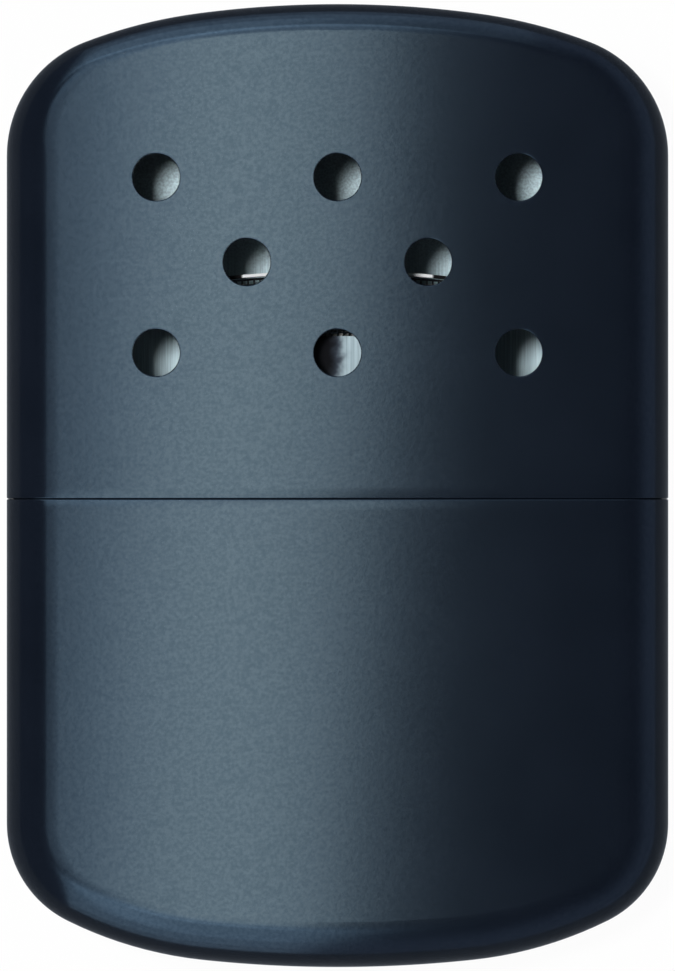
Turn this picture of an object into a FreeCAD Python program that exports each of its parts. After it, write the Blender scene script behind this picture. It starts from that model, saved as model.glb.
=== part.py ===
import FreeCAD, Part
import Sketcher
import math
import os
from FreeCAD import Vector

# Refillable catalytic pocket warmer.
#
# A drawn lower case holds cotton that soaks up fuel.  A collar is soldered into its mouth: the lid slips
# over the collar, and the collar's deck carries the filler neck.  The burner pushes over the neck, and
# its platinised mat burns the vapour without a flame.  A drawn lid with eight vents covers the burner.
#
# The case lies on its back: +X across the width, +Y from the lower case to the lid's crown, +Z through
# the depth to the vented face.  The origin is under the middle of the case.  Lengths are millimetres.

# Every size that can be set by itself: alias, millimetres, what it is.
SIZES = [
    ("case_width", 68.8, "width over the straight sides"),
    ("case_depth", 13.8, "depth over the crown of both broad faces"),
    ("face_radius", 300.0, "radius of the broad faces across the width"),
    ("side_flat", 1.22, "straight part of a side, between its two blends"),
    ("lid_height", 51.15, "lid, rim to crown"),
    ("lid_wall", 0.5, "lid, sheet thickness"),
    ("lid_crown_radius", 111.6, "lid end, radius of the middle arc"),
    ("lid_crown_reach", 14.5, "lid end, half width of the middle arc"),
    ("lid_shoulder_radius", 52.1, "lid end, radius of the shoulder arcs"),
    ("lid_corner_radius", 12.6, "lid end, radius of the corner arcs"),
    ("lid_edge_radius", 2.8, "blend between a broad face and the lid's end"),
    ("tank_height", 48.55, "lower case, rim to bottom"),
    ("tank_wall", 0.5, "lower case, sheet thickness"),
    ("tank_crown_radius", 134.5, "lower end, radius of the middle arc"),
    ("tank_crown_reach", 14.1, "lower end, half width of the middle arc"),
    ("tank_shoulder_radius", 41.5, "lower end, radius of the shoulder arcs"),
    ("tank_corner_radius", 11.3, "lower end, radius of the corner arcs"),
    ("seam_gap", 0.3, "open joint between the lid's rim and the lower case's rim"),
    ("vent_diameter", 4.9, "vent hole"),
    ("vent_pitch", 18.8, "vents, centre to centre in a row"),
    ("vent_first_drop", 18.0, "lid's crown to the first row of vents"),
    ("vent_second_drop", 26.8, "lid's crown to the middle row"),
    ("vent_third_drop", 36.2, "lid's crown to the last row"),
    ("collar_wall", 0.5, "collar, sheet thickness"),
    ("collar_height", 7.5, "collar, lower case's rim to the top of the deck"),
    ("collar_edge_radius", 1.2, "collar, round between its wall and its deck"),
    ("skirt_depth", 6.0, "how far the collar reaches into the lower case"),
    ("solder_gap", 0.05, "film of solder between two joined sheets"),
    ("lid_fit", 0.2, "sliding clearance between the collar and the lid"),
    ("neck_flat", 20.2, "filler neck and burner, length of the flat sides"),
    ("neck_depth", 6.6, "filler neck, outside across the flats"),
    ("neck_wall", 0.4, "filler neck, sheet thickness"),
    ("neck_height", 4.6, "filler neck, deck to mouth"),
    ("neck_tail", 2.0, "filler neck, how far it reaches below the deck's top"),
    ("flange_width", 1.3, "filler neck, flange beyond the tube"),
    ("flange_thickness", 0.4, "filler neck, flange"),
    ("burner_fit", 0.2, "clearance between the filler neck and the burner"),
    ("burner_wall", 0.4, "burner, sheet thickness"),
    ("burner_foot", 0.4, "gap between the neck's flange and the burner's lower edge"),
    ("sill_height", 9.5, "deck to the lower edge of the burner's windows"),
    ("post_height", 15.15, "deck to the top of the burner's end posts"),
    ("window_width", 24.4, "burner, width of the front and back windows"),
    ("floor_thickness", 0.4, "vapour plate in the burner"),
    ("floor_hole", 4.0, "vapour plate, hole"),
    ("floor_pitch", 6.4, "vapour plate, hole to hole"),
    ("gauze_thickness", 0.3, "gauze half"),
    ("gauze_split", 0.3, "slot between the two gauze halves"),
    ("gauze_cell", 2.0, "gauze, opening"),
    ("gauze_pitch", 2.6, "gauze, opening to opening"),
    ("gauze_margin", 0.5, "gauze, plain edge above the window sill"),
    ("mat_gap", 0.25, "room round the catalyst mat"),
    ("bridge_radius", 115.0, "top bridge, radius of its arched top"),
    ("bridge_wall", 0.35, "top bridge, sheet thickness"),
    ("bridge_depth", 3.2, "top bridge, across the strip"),
    ("bridge_tongue", 2.0, "top bridge, width of the tongues on the end posts"),
    ("felt_thickness", 2.5, "felt pad under the filler neck"),
    ("felt_gap", 0.3, "room round the felt and above the cotton"),
    ("cotton_room", 2.0, "room between the cotton and the lower case"),
]

PARTS_FOLDER = "parts"

doc = FreeCAD.newDocument("PocketWarmer")
sheet = doc.addObject("Spreadsheet::Sheet", "Sizes")
for row, (alias, length, note) in enumerate(SIZES, start=1):
    sheet.set(f"A{row}", note)
    sheet.set(f"B{row}", str(length))
    sheet.setAlias(f"B{row}", alias)
doc.recompute()
size = {alias: float(sheet.get(alias)) for alias, _, _ in SIZES}

# Places shared by several pieces, as expressions over the sheet.
MID_DEPTH = "Sizes.case_depth / 2"
LID_RIM = "(Sizes.tank_height - Sizes.lid_height + Sizes.seam_gap) / 2"
TANK_RIM = "(Sizes.tank_height - Sizes.lid_height - Sizes.seam_gap) / 2"
DECK = f"{TANK_RIM} + Sizes.collar_height"

# A blend touches the side at the end of its flat part, and a broad face: that sets its radius.
SIDE_CENTRE = "(Sizes.face_radius - Sizes.case_depth / 2 + Sizes.side_flat / 2)"
SIDE_RADIUS = (f"(Sizes.face_radius^2 - Sizes.case_width^2 / 4 - {SIDE_CENTRE}^2)"
               " / (2 * Sizes.face_radius - Sizes.case_width)")
side_centre = size["face_radius"] - size["case_depth"] / 2 + size["side_flat"] / 2
side_radius = ((size["face_radius"] ** 2 - size["case_width"] ** 2 / 4 - side_centre ** 2)
               / (2 * size["face_radius"] - size["case_width"]))

# Distances from the case's outer surface in to a surface that follows it.
SKIRT_INSET = "Sizes.tank_wall + Sizes.solder_gap"
GUIDE_INSET = "Sizes.lid_wall + Sizes.lid_fit"
FELT_INSET = f"{GUIDE_INSET} + Sizes.collar_wall + Sizes.felt_gap"

# Depths across the flats of the oval pieces, from the filler neck outwards and inwards.
NECK_DEPTH = "Sizes.neck_depth"
NECK_BORE = "Sizes.neck_depth - 2 * Sizes.neck_wall"
BURNER_BORE = "Sizes.neck_depth + 2 * Sizes.burner_fit"
BURNER_DEPTH = f"{BURNER_BORE} + 2 * Sizes.burner_wall"
FLOOR_DEPTH = f"{BURNER_BORE} - 2 * Sizes.solder_gap"
GAUZE_BORE = f"{FLOOR_DEPTH} - 2 * Sizes.gauze_thickness"

# Heights above the deck.
BURNER_FOOT = "Sizes.flange_thickness + Sizes.burner_foot"
FLOOR_HEIGHT = "Sizes.neck_height + Sizes.burner_fit"
GAUZE_FOOT = f"{FLOOR_HEIGHT} + Sizes.floor_thickness"

# The top bridge: two arcs round one centre, low enough for its tongues to lie on the end posts.
BRIDGE_REACH = f"(Sizes.neck_flat + {BURNER_DEPTH} - Sizes.burner_wall) / 2"
UNDERSIDE = "Sizes.bridge_radius - Sizes.bridge_wall"
BRIDGE_CENTRE = f"sqrt(({UNDERSIDE})^2 - ({BRIDGE_REACH})^2) - Sizes.post_height"
bridge_reach = size["neck_flat"] / 2 + size["neck_depth"] / 2 + size["burner_fit"] + size["burner_wall"] / 2
underside = size["bridge_radius"] - size["bridge_wall"]
bridge_centre = math.sqrt(underside ** 2 - bridge_reach ** 2) - size["post_height"]


# ---------------------------------------------------------------- bodies and sketches

def place(body, height):
    """Moves a body's origin along +Y to a height, at the middle of the case's depth."""
    body.setExpression("Placement.Base.y", height)
    body.setExpression("Placement.Base.z", MID_DEPTH)


def new_body(label, height=None):
    """An empty body, placed when a height is given."""
    body = doc.addObject("PartDesign::Body", label)
    body.Label = label
    if height is not None:
        place(body, height)
    return body


def new_sketch(body, name, role, offset=None):
    """A sketch on one of the body's origin planes, moved along the plane's normal by an expression."""
    sketch = body.newObject("Sketcher::SketchObject", f"{body.Label}_{name}")
    plane = next(feature for feature in body.Origin.OriginFeatures if feature.Role == role)
    sketch.AttachmentSupport = [(plane, "")]
    sketch.MapMode = "FlatFace"
    if offset is not None:
        sketch.setExpression("AttachmentOffset.Base.z", offset)
    return sketch


def driven(sketch, name, constraint, expression):
    """Adds a dimension to the sketch and binds it to an expression over the sheet."""
    index = sketch.addConstraint(constraint)
    sketch.renameConstraint(index, name)
    sketch.setExpression(f"Constraints.{name}", expression)


def line(x0, y0, x1, y1):
    return Part.LineSegment(Vector(x0, y0, 0), Vector(x1, y1, 0))


def arc(x, y, radius, start, end):
    """A counter-clockwise arc; its angles are degrees from the sketch's first axis."""
    circle = Part.Circle(Vector(x, y, 0), Vector(0, 0, 1), radius)
    return Part.ArcOfCircle(circle, math.radians(start), math.radians(end))


def join(sketch, first, second, kind="Tangent"):
    """The end of one edge meets the start of another, smoothly unless the kind is Coincident."""
    sketch.addConstraint(Sketcher.Constraint(kind, first, 2, second, 1))


def pad(body, sketch, length, kind="One side", reverse=False):
    feature = body.newObject("PartDesign::Pad", f"{sketch.Name}_pad")
    feature.Profile = sketch
    feature.SideType = kind
    feature.Reversed = reverse
    feature.setExpression("Length", length)
    doc.recompute()
    return feature


def pocket(body, sketch, length=None, kind="One side", reverse=False):
    """Cuts the sketch out of the body, through everything when no length is given."""
    before = body.Shape.Volume
    feature = body.newObject("PartDesign::Pocket", f"{sketch.Name}_pocket")
    feature.Profile = sketch
    feature.SideType = kind
    feature.Reversed = reverse
    if length is None:
        feature.Type = "ThroughAll"
    else:
        feature.setExpression("Length", length)
    doc.recompute()
    if not body.Shape.Volume < before:
        raise RuntimeError(f"{feature.Name} cuts nothing")
    return feature


# ---------------------------------------------------------------- profiles

def end_outline(sketch, end, inset, overrun=None):
    """The case seen from the front, rim to end: straight sides closed by a three-centred arch.

    The crown, shoulder and corner arcs share their tangents, so an inset outline keeps their centres.
    """
    half = size["case_width"] / 2
    height = size[f"{end}_height"]
    crown = size[f"{end}_crown_radius"]
    shoulder = size[f"{end}_shoulder_radius"]
    corner = size[f"{end}_corner_radius"]
    crown_sine = size[f"{end}_crown_reach"] / crown
    crown_angle = math.degrees(math.asin(crown_sine))
    shoulder_x = (crown - shoulder) * crown_sine
    shoulder_y = height - crown + (crown - shoulder) * math.cos(math.radians(crown_angle))
    shoulder_sine = (half - corner - shoulder_x) / (shoulder - corner)
    shoulder_angle = math.degrees(math.asin(shoulder_sine))
    corner_x = half - corner
    corner_y = shoulder_y + (shoulder - corner) * math.cos(math.radians(shoulder_angle))
    side, right_corner, right_shoulder, top, left_shoulder, left_corner, far_side, base = range(8)
    sketch.addGeometry([
        line(half, 0, half, corner_y),
        arc(corner_x, corner_y, corner, 0, 90 - shoulder_angle),
        arc(shoulder_x, shoulder_y, shoulder, 90 - shoulder_angle, 90 - crown_angle),
        arc(0, height - crown, crown, 90 - crown_angle, 90 + crown_angle),
        arc(-shoulder_x, shoulder_y, shoulder, 90 + crown_angle, 90 + shoulder_angle),
        arc(-corner_x, corner_y, corner, 90 + shoulder_angle, 180),
        line(-half, corner_y, -half, 0),
        line(-half, 0, half, 0),
    ])
    for edge in range(side, far_side):
        join(sketch, edge, edge + 1)
    join(sketch, far_side, base, "Coincident")
    join(sketch, base, side, "Coincident")
    sketch.addConstraint([
        Sketcher.Constraint("Vertical", side),
        Sketcher.Constraint("Vertical", far_side),
        Sketcher.Constraint("Horizontal", base),
        Sketcher.Constraint("Equal", right_corner, left_corner),
        Sketcher.Constraint("Equal", right_shoulder, left_shoulder),
        Sketcher.Constraint("PointOnObject", top, 3, -2),
    ])
    reach = f"(Sizes.{end}_crown_radius - Sizes.{end}_shoulder_radius)"
    reach = f"{reach} * Sizes.{end}_crown_reach / Sizes.{end}_crown_radius"
    half_width = f"Sizes.case_width / 2 - ({inset})"
    for name, edge in (("crown", top), ("shoulder", right_shoulder), ("corner", right_corner)):
        radius = sketch.Geometry[edge].Radius
        driven(sketch, f"{name}_radius", Sketcher.Constraint("Radius", edge, radius),
               f"Sizes.{end}_{name}_radius - ({inset})")
    driven(sketch, "crown_centre", Sketcher.Constraint("DistanceY", top, 3, -1, 1, crown - height),
           f"Sizes.{end}_crown_radius - Sizes.{end}_height")
    to_right = Sketcher.Constraint("DistanceX", -1, 1, right_shoulder, 3, shoulder_x)
    to_left = Sketcher.Constraint("DistanceX", left_shoulder, 3, -1, 1, shoulder_x)
    driven(sketch, "shoulder_right", to_right, reach)
    driven(sketch, "shoulder_left", to_left, reach)
    driven(sketch, "side_right", Sketcher.Constraint("DistanceX", -1, 1, side, 1, half), half_width)
    driven(sketch, "side_left", Sketcher.Constraint("DistanceX", far_side, 1, -1, 1, half), half_width)
    if overrun is None:
        sketch.addConstraint(Sketcher.Constraint("PointOnObject", base, 1, -1))
    else:
        driven(sketch, "overrun", Sketcher.Constraint("DistanceY", base, 1, -1, 1, 1.0), overrun)


def case_section(sketch, inset):
    """The case cut across: two broad arcs, two sides and four blends, all moved in by the inset."""
    half = size["case_width"] / 2
    blend = side_radius
    broad = size["face_radius"]
    depth = size["case_depth"] / 2
    blend_x = half - blend
    blend_y = depth - broad + math.sqrt((broad - blend) ** 2 - blend_x ** 2)
    turn = math.degrees(math.acos(blend_x / (broad - blend)))
    right, blend_a, front, blend_b, left, blend_c, back, blend_d = range(8)
    sketch.addGeometry([
        line(half, -blend_y, half, blend_y),
        arc(blend_x, blend_y, blend, 0, turn),
        arc(0, depth - broad, broad, turn, 180 - turn),
        arc(-blend_x, blend_y, blend, 180 - turn, 180),
        line(-half, blend_y, -half, -blend_y),
        arc(-blend_x, -blend_y, blend, 180, 180 + turn),
        arc(0, broad - depth, broad, 180 + turn, 360 - turn),
        arc(blend_x, -blend_y, blend, 360 - turn, 360),
    ])
    for edge in range(right, blend_d):
        join(sketch, edge, edge + 1)
    join(sketch, blend_d, right)
    sketch.addConstraint([
        Sketcher.Constraint("Vertical", right),
        Sketcher.Constraint("Vertical", left),
        Sketcher.Constraint("Equal", blend_a, blend_b),
        Sketcher.Constraint("Equal", blend_a, blend_c),
        Sketcher.Constraint("Equal", blend_a, blend_d),
        Sketcher.Constraint("Equal", front, back),
        Sketcher.Constraint("PointOnObject", front, 3, -2),
        Sketcher.Constraint("PointOnObject", back, 3, -2),
    ])
    half_width = f"Sizes.case_width / 2 - ({inset})"
    centre = "Sizes.face_radius - Sizes.case_depth / 2"
    driven(sketch, "blend", Sketcher.Constraint("Radius", blend_a, blend), f"{SIDE_RADIUS} - ({inset})")
    driven(sketch, "broad", Sketcher.Constraint("Radius", front, broad), f"Sizes.face_radius - ({inset})")
    driven(sketch, "front_centre", Sketcher.Constraint("DistanceY", front, 3, -1, 1, broad - depth), centre)
    driven(sketch, "back_centre", Sketcher.Constraint("DistanceY", -1, 1, back, 3, broad - depth), centre)
    driven(sketch, "side_right", Sketcher.Constraint("DistanceX", -1, 1, right, 1, half), half_width)
    driven(sketch, "side_left", Sketcher.Constraint("DistanceX", left, 1, -1, 1, half), half_width)


def lens(sketch, inset):
    """The two broad arcs alone, closed well outside the case's sides."""
    half = size["case_width"] / 2 + size["case_depth"] / 2
    broad = size["face_radius"]
    depth = size["case_depth"] / 2
    corner_y = depth - broad + math.sqrt(broad ** 2 - half ** 2)
    turn = math.degrees(math.acos(half / broad))
    right, front, left, back = range(4)
    sketch.addGeometry([
        line(half, -corner_y, half, corner_y),
        arc(0, depth - broad, broad, turn, 180 - turn),
        line(-half, corner_y, -half, -corner_y),
        arc(0, broad - depth, broad, 180 + turn, 360 - turn),
    ])
    for edge in range(right, back):
        join(sketch, edge, edge + 1, "Coincident")
    join(sketch, back, right, "Coincident")
    sketch.addConstraint([
        Sketcher.Constraint("Vertical", right),
        Sketcher.Constraint("Vertical", left),
        Sketcher.Constraint("Equal", front, back),
        Sketcher.Constraint("PointOnObject", front, 3, -2),
        Sketcher.Constraint("PointOnObject", back, 3, -2),
    ])
    half_width = "Sizes.case_width / 2 + Sizes.case_depth / 2"
    centre = "Sizes.face_radius - Sizes.case_depth / 2"
    driven(sketch, "broad", Sketcher.Constraint("Radius", front, broad), f"Sizes.face_radius - ({inset})")
    driven(sketch, "front_centre", Sketcher.Constraint("DistanceY", front, 3, -1, 1, broad - depth), centre)
    driven(sketch, "back_centre", Sketcher.Constraint("DistanceY", -1, 1, back, 3, broad - depth), centre)
    driven(sketch, "side_right", Sketcher.Constraint("DistanceX", -1, 1, right, 1, half), half_width)
    driven(sketch, "side_left", Sketcher.Constraint("DistanceX", left, 1, -1, 1, half), half_width)


def stadium(sketch, depth):
    """Two flats joined by half-rounds: as long as the neck's flats, as deep as the expression says."""
    flat = size["neck_flat"] / 2
    radius = size["neck_depth"] / 2
    top, left, bottom, right = range(4)
    sketch.addGeometry([
        line(flat, radius, -flat, radius),
        arc(-flat, 0, radius, 90, 270),
        line(-flat, -radius, flat, -radius),
        arc(flat, 0, radius, 270, 450),
    ])
    for edge in (top, left, bottom):
        join(sketch, edge, edge + 1)
    join(sketch, right, top)
    sketch.addConstraint([
        Sketcher.Constraint("Horizontal", top),
        Sketcher.Constraint("Equal", left, right),
        Sketcher.Constraint("PointOnObject", right, 3, -1),
    ])
    half_flat = "Sizes.neck_flat / 2"
    driven(sketch, "round", Sketcher.Constraint("Radius", left, radius), f"({depth}) / 2")
    driven(sketch, "flat_right", Sketcher.Constraint("DistanceX", -1, 1, right, 3, flat), half_flat)
    driven(sketch, "flat_left", Sketcher.Constraint("DistanceX", left, 3, -1, 1, flat), half_flat)


def rectangle(sketch, low_x, low_y, high_x, high_y):
    """A rectangle between four expressions, each counted outwards from the origin."""
    sketch.addGeometry([line(-1, -1, 1, -1), line(1, -1, 1, 1), line(1, 1, -1, 1), line(-1, 1, -1, -1)])
    for edge in range(4):
        join(sketch, edge, (edge + 1) % 4, "Coincident")
    sketch.addConstraint([
        Sketcher.Constraint("Horizontal", 0),
        Sketcher.Constraint("Vertical", 1),
        Sketcher.Constraint("Horizontal", 2),
        Sketcher.Constraint("Vertical", 3),
    ])
    driven(sketch, "low_x", Sketcher.Constraint("DistanceX", 0, 1, -1, 1, 1.0), low_x)
    driven(sketch, "low_y", Sketcher.Constraint("DistanceY", 0, 1, -1, 1, 1.0), low_y)
    driven(sketch, "high_x", Sketcher.Constraint("DistanceX", -1, 1, 2, 1, 1.0), high_x)
    driven(sketch, "high_y", Sketcher.Constraint("DistanceY", -1, 1, 2, 1, 1.0), high_y)


# ---------------------------------------------------------------- drawn forms

def blend_edges(blank, end_radius, inset):
    """Rounds the edges between the broad faces and the walls.

    The radius is the side's along the straight sides and the end's along the arch; it changes over
    from one to the other along the corner arcs.
    """
    half = size["case_width"] / 2 - inset
    quarter_depth = size["case_depth"] / 4

    def radius_at(point):
        on_side = math.isclose(abs(point.x), half, abs_tol=1e-4)
        return (side_radius if on_side else end_radius) - inset

    rim = blank.Shape.BoundBox.YMin
    edges = []
    for number, edge in enumerate(blank.Shape.Edges, start=1):
        start, end_point = (edge.valueAt(parameter) for parameter in edge.ParameterRange)
        on_rim = math.isclose(start.y, rim, abs_tol=1e-4) and math.isclose(end_point.y, rim, abs_tol=1e-4)
        if abs(edge.CenterOfGravity.z) > quarter_depth and not on_rim:
            edges.append((number, radius_at(start), radius_at(end_point)))
    fillet = doc.addObject("Part::Fillet", f"{blank.Name}_blend")
    fillet.Base = blank
    fillet.Edges = edges
    doc.recompute()
    return fillet


def sharp_form(end, name, inset="0", overrun=None):
    """A solid with a case half's front outline and broad faces; the two meet in sharp edges."""
    front = new_body(f"{end}_{name}_front")
    outline = new_sketch(front, "outline", "XY_Plane")
    end_outline(outline, end, inset, overrun)
    pad(front, outline, "2 * Sizes.case_depth", "Symmetric")
    across = new_body(f"{end}_{name}_across")
    faces = new_sketch(across, "faces", "XZ_Plane")
    lens(faces, inset)
    pad(across, faces, f"4 * Sizes.{end}_height", "Symmetric")
    blank = doc.addObject("Part::Common", f"{end}_{name}")
    blank.Base = front
    blank.Tool = across
    doc.recompute()
    return blank


def drawn_cup(end, end_radius):
    """A case half's blended form less the punch that fits inside it, as the base of a new body."""
    wall = f"{end}_wall"
    die = sharp_form(end, "die")
    punch = sharp_form(end, "punch", f"Sizes.{wall}", f"Sizes.{wall}")
    cup = doc.addObject("Part::Cut", f"{end}_cup")
    cup.Base = blend_edges(die, end_radius, 0)
    cup.Tool = blend_edges(punch, end_radius, size[wall])
    doc.recompute()
    body = new_body(f"{end}_shell")
    body.BaseFeature = cup
    doc.recompute()
    return body


def turn_round(body):
    """Turns a piece whose +Y points to the lower end about the case's depth."""
    body.Placement = FreeCAD.Placement(Vector(), FreeCAD.Rotation(Vector(0, 0, 1), 180))


# ---------------------------------------------------------------- lid and lower case

def make_lid_shell():
    """Drawn lid with three rows of vents pierced through its front face only."""
    body = drawn_cup("lid", size["lid_edge_radius"])
    sketch = new_sketch(body, "vents", "XY_Plane")
    rows = [("first", (-1, 0, 1)), ("second", (-0.5, 0.5)), ("third", (-1, 0, 1))]
    vents = []
    for row_name, places in rows:
        height = size["lid_height"] - size[f"vent_{row_name}_drop"]
        for column, pitches in enumerate(places):
            centre = Vector(pitches * size["vent_pitch"], height, 0)
            vent = sketch.addGeometry(Part.Circle(centre, Vector(0, 0, 1), size["vent_diameter"] / 2))
            vents.append(vent)
            upwards = Sketcher.Constraint("DistanceY", -1, 1, vent, 3, height)
            name = f"{row_name}_{column}"
            driven(sketch, f"{name}_y", upwards, f"Sizes.lid_height - Sizes.vent_{row_name}_drop")
            if pitches == 0:
                sketch.addConstraint(Sketcher.Constraint("PointOnObject", vent, 3, -2))
            else:
                ends = (-1, 1, vent, 3) if pitches > 0 else (vent, 3, -1, 1)
                sideways = Sketcher.Constraint("DistanceX", *ends, abs(centre.x))
                driven(sketch, f"{name}_x", sideways, f"{abs(pitches)} * Sizes.vent_pitch")
    sketch.addConstraint([Sketcher.Constraint("Equal", vents[0], vent) for vent in vents[1:]])
    diameter = Sketcher.Constraint("Diameter", vents[0], size["vent_diameter"])
    driven(sketch, "vent", diameter, "Sizes.vent_diameter")
    pocket(body, sketch, reverse=True)
    place(body, LID_RIM)
    return body


def make_tank_shell():
    """Drawn lower case, closed at its lower end; its blend keeps the side's radius all round."""
    body = drawn_cup("tank", side_radius)
    turn_round(body)
    place(body, TANK_RIM)
    return body


# ---------------------------------------------------------------- collar, neck and filling

def make_tank_collar():
    """Drawn collar: a skirt soldered into the lower case, a guide for the lid, and the deck."""
    body = new_body("tank_collar", TANK_RIM)
    skirt = new_sketch(body, "skirt", "XZ_Plane")
    case_section(skirt, SKIRT_INSET)
    pad(body, skirt, "Sizes.skirt_depth")
    guide = new_sketch(body, "guide", "XZ_Plane")
    case_section(guide, GUIDE_INSET)
    block = pad(body, guide, "Sizes.collar_height", reverse=True)
    top_edges = []
    for number, edge in enumerate(block.Shape.Edges, start=1):
        if edge.BoundBox.YMin > size["collar_height"] - size["collar_wall"]:
            top_edges.append(f"Edge{number}")
    crest = body.newObject("PartDesign::Fillet", "collar_crest")
    crest.Base = (block, top_edges)
    crest.setExpression("Radius", "Sizes.collar_edge_radius")
    doc.recompute()
    bore = new_sketch(body, "bore", "XZ_Plane", "Sizes.skirt_depth")
    case_section(bore, f"{GUIDE_INSET} + Sizes.collar_wall")
    pocket(body, bore, "Sizes.skirt_depth + Sizes.collar_height - Sizes.collar_wall")
    opening = new_sketch(body, "opening", "XZ_Plane")
    stadium(opening, f"{NECK_DEPTH} + 2 * Sizes.solder_gap")
    pocket(body, opening)
    return body


def make_filler_neck():
    """Oval tube with a flange that lies on the deck."""
    body = new_body("filler_neck", DECK)
    tail = new_sketch(body, "tail", "XZ_Plane", "Sizes.neck_tail")
    stadium(tail, NECK_DEPTH)
    pad(body, tail, "Sizes.neck_tail + Sizes.neck_height", reverse=True)
    flange = new_sketch(body, "flange", "XZ_Plane")
    stadium(flange, f"{NECK_DEPTH} + 2 * Sizes.flange_width")
    pad(body, flange, "Sizes.flange_thickness", reverse=True)
    bore = new_sketch(body, "bore", "XZ_Plane")
    stadium(bore, NECK_BORE)
    pocket(body, bore, kind="Symmetric")
    return body


def make_felt_pad():
    """Felt laid over the cotton inside the collar."""
    body = new_body("felt_pad", DECK)
    sketch = new_sketch(body, "outline", "XZ_Plane", "Sizes.neck_tail + Sizes.felt_gap")
    case_section(sketch, FELT_INSET)
    pad(body, sketch, "Sizes.felt_thickness")
    return body


def make_cotton_wadding():
    """Cotton packed into the lower case and up inside the collar, as far as the felt."""
    felt_underside = "Sizes.neck_tail + Sizes.felt_thickness + 2 * Sizes.felt_gap"
    body = new_body("cotton_wadding")
    body.BaseFeature = sharp_form("tank", "cotton", "Sizes.tank_wall + Sizes.cotton_room",
                                  f"Sizes.collar_height - ({felt_underside})")
    doc.recompute()
    turn_round(body)
    place(body, TANK_RIM)
    return body


# ---------------------------------------------------------------- burner

def arched_strip(sketch, reach, top, bottom):
    """A strip between two arcs round the bridge's centre, cut off upright on both sides.

    The reach and the two radii are pairs: the length to start from and the expression that drives it.
    """
    half = reach[0]
    top_y, bottom_y = (math.sqrt(radius ** 2 - half ** 2) - bridge_centre for radius, _ in (top, bottom))
    top_turn, bottom_turn = (math.degrees(math.acos(half / radius)) for radius, _ in (top, bottom))
    upper, left, lower, right = range(4)
    sketch.addGeometry([
        arc(0, -bridge_centre, top[0], top_turn, 180 - top_turn),
        line(-half, top_y, -half, bottom_y),
        arc(0, -bridge_centre, bottom[0], bottom_turn, 180 - bottom_turn),
        line(half, bottom_y, half, top_y),
    ])
    join(sketch, upper, left, "Coincident")
    join(sketch, right, upper, "Coincident")
    sketch.addConstraint([
        Sketcher.Constraint("Coincident", left, 2, lower, 2),
        Sketcher.Constraint("Coincident", right, 1, lower, 1),
        Sketcher.Constraint("Coincident", upper, 3, lower, 3),
        Sketcher.Constraint("Vertical", left),
        Sketcher.Constraint("Vertical", right),
        Sketcher.Constraint("PointOnObject", upper, 3, -2),
    ])
    driven(sketch, "top", Sketcher.Constraint("Radius", upper, top[0]), top[1])
    driven(sketch, "bottom", Sketcher.Constraint("Radius", lower, bottom[0]), bottom[1])
    to_centre = Sketcher.Constraint("DistanceY", upper, 3, -1, 1, bridge_centre)
    driven(sketch, "centre", to_centre, BRIDGE_CENTRE)
    driven(sketch, "right", Sketcher.Constraint("DistanceX", -1, 1, right, 1, half), reach[1])
    driven(sketch, "left", Sketcher.Constraint("DistanceX", left, 1, -1, 1, half), reach[1])


def oval_sleeve(label, foot, top, outside_depth, bore_depth):
    """An oval tube between two heights above the deck."""
    body = new_body(label, DECK)
    outside = new_sketch(body, "outside", "XZ_Plane", f"-({foot})")
    stadium(outside, outside_depth)
    pad(body, outside, f"{top} - ({foot})", reverse=True)
    bore = new_sketch(body, "bore", "XZ_Plane")
    stadium(bore, bore_depth)
    pocket(body, bore, kind="Symmetric")
    return body


def make_burner_base():
    """Drawn oval sleeve: it grips the neck, and its two end posts stand on past the windows."""
    body = oval_sleeve("burner_base", BURNER_FOOT, "Sizes.post_height", BURNER_DEPTH, BURNER_BORE)
    window = new_sketch(body, "window", "XY_Plane")
    half = "Sizes.window_width / 2"
    rectangle(window, half, "-Sizes.sill_height", half, "2 * Sizes.post_height")
    pocket(body, window, kind="Symmetric")
    return body


def repeat(body, feature, name, directions):
    """Repeats a feature along one or two axes of its sketch; a direction is axis, count and pitch."""
    pattern = body.newObject("PartDesign::LinearPattern", name)
    pattern.Originals = [feature]
    for suffix, (axis, count, pitch) in zip(("", "2"), directions):
        setattr(pattern, f"Direction{suffix}", (feature.Profile[0], [axis]))
        setattr(pattern, f"Mode{suffix}", "Spacing")
        setattr(pattern, f"Occurrences{suffix}", count)
        pattern.setExpression(f"Offset{suffix}", pitch)
    body.Tip = pattern
    doc.recompute()


def make_burner_floor():
    """Plate with a row of holes that lets the vapour up into the mat."""
    body = new_body("burner_floor", DECK)
    outline = new_sketch(body, "outline", "XZ_Plane", f"-({FLOOR_HEIGHT})")
    stadium(outline, FLOOR_DEPTH)
    pad(body, outline, "Sizes.floor_thickness", reverse=True)
    gaps = 2 * int(size["neck_flat"] / 2 / size["floor_pitch"])
    start = gaps / 2 * size["floor_pitch"]
    first = new_sketch(body, "hole", "XZ_Plane")
    hole = first.addGeometry(Part.Circle(Vector(-start, 0, 0), Vector(0, 0, 1), size["floor_hole"] / 2))
    first.addConstraint(Sketcher.Constraint("PointOnObject", hole, 3, -1))
    diameter = Sketcher.Constraint("Diameter", hole, size["floor_hole"])
    driven(first, "hole", diameter, "Sizes.floor_hole")
    to_first = Sketcher.Constraint("DistanceX", hole, 3, -1, 1, start)
    driven(first, "start", to_first, f"{gaps / 2} * Sizes.floor_pitch")
    drilled = pocket(body, first, kind="Symmetric")
    repeat(body, drilled, "floor_holes", [("H_Axis", gaps + 1, "Sizes.floor_pitch")])
    return body


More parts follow.
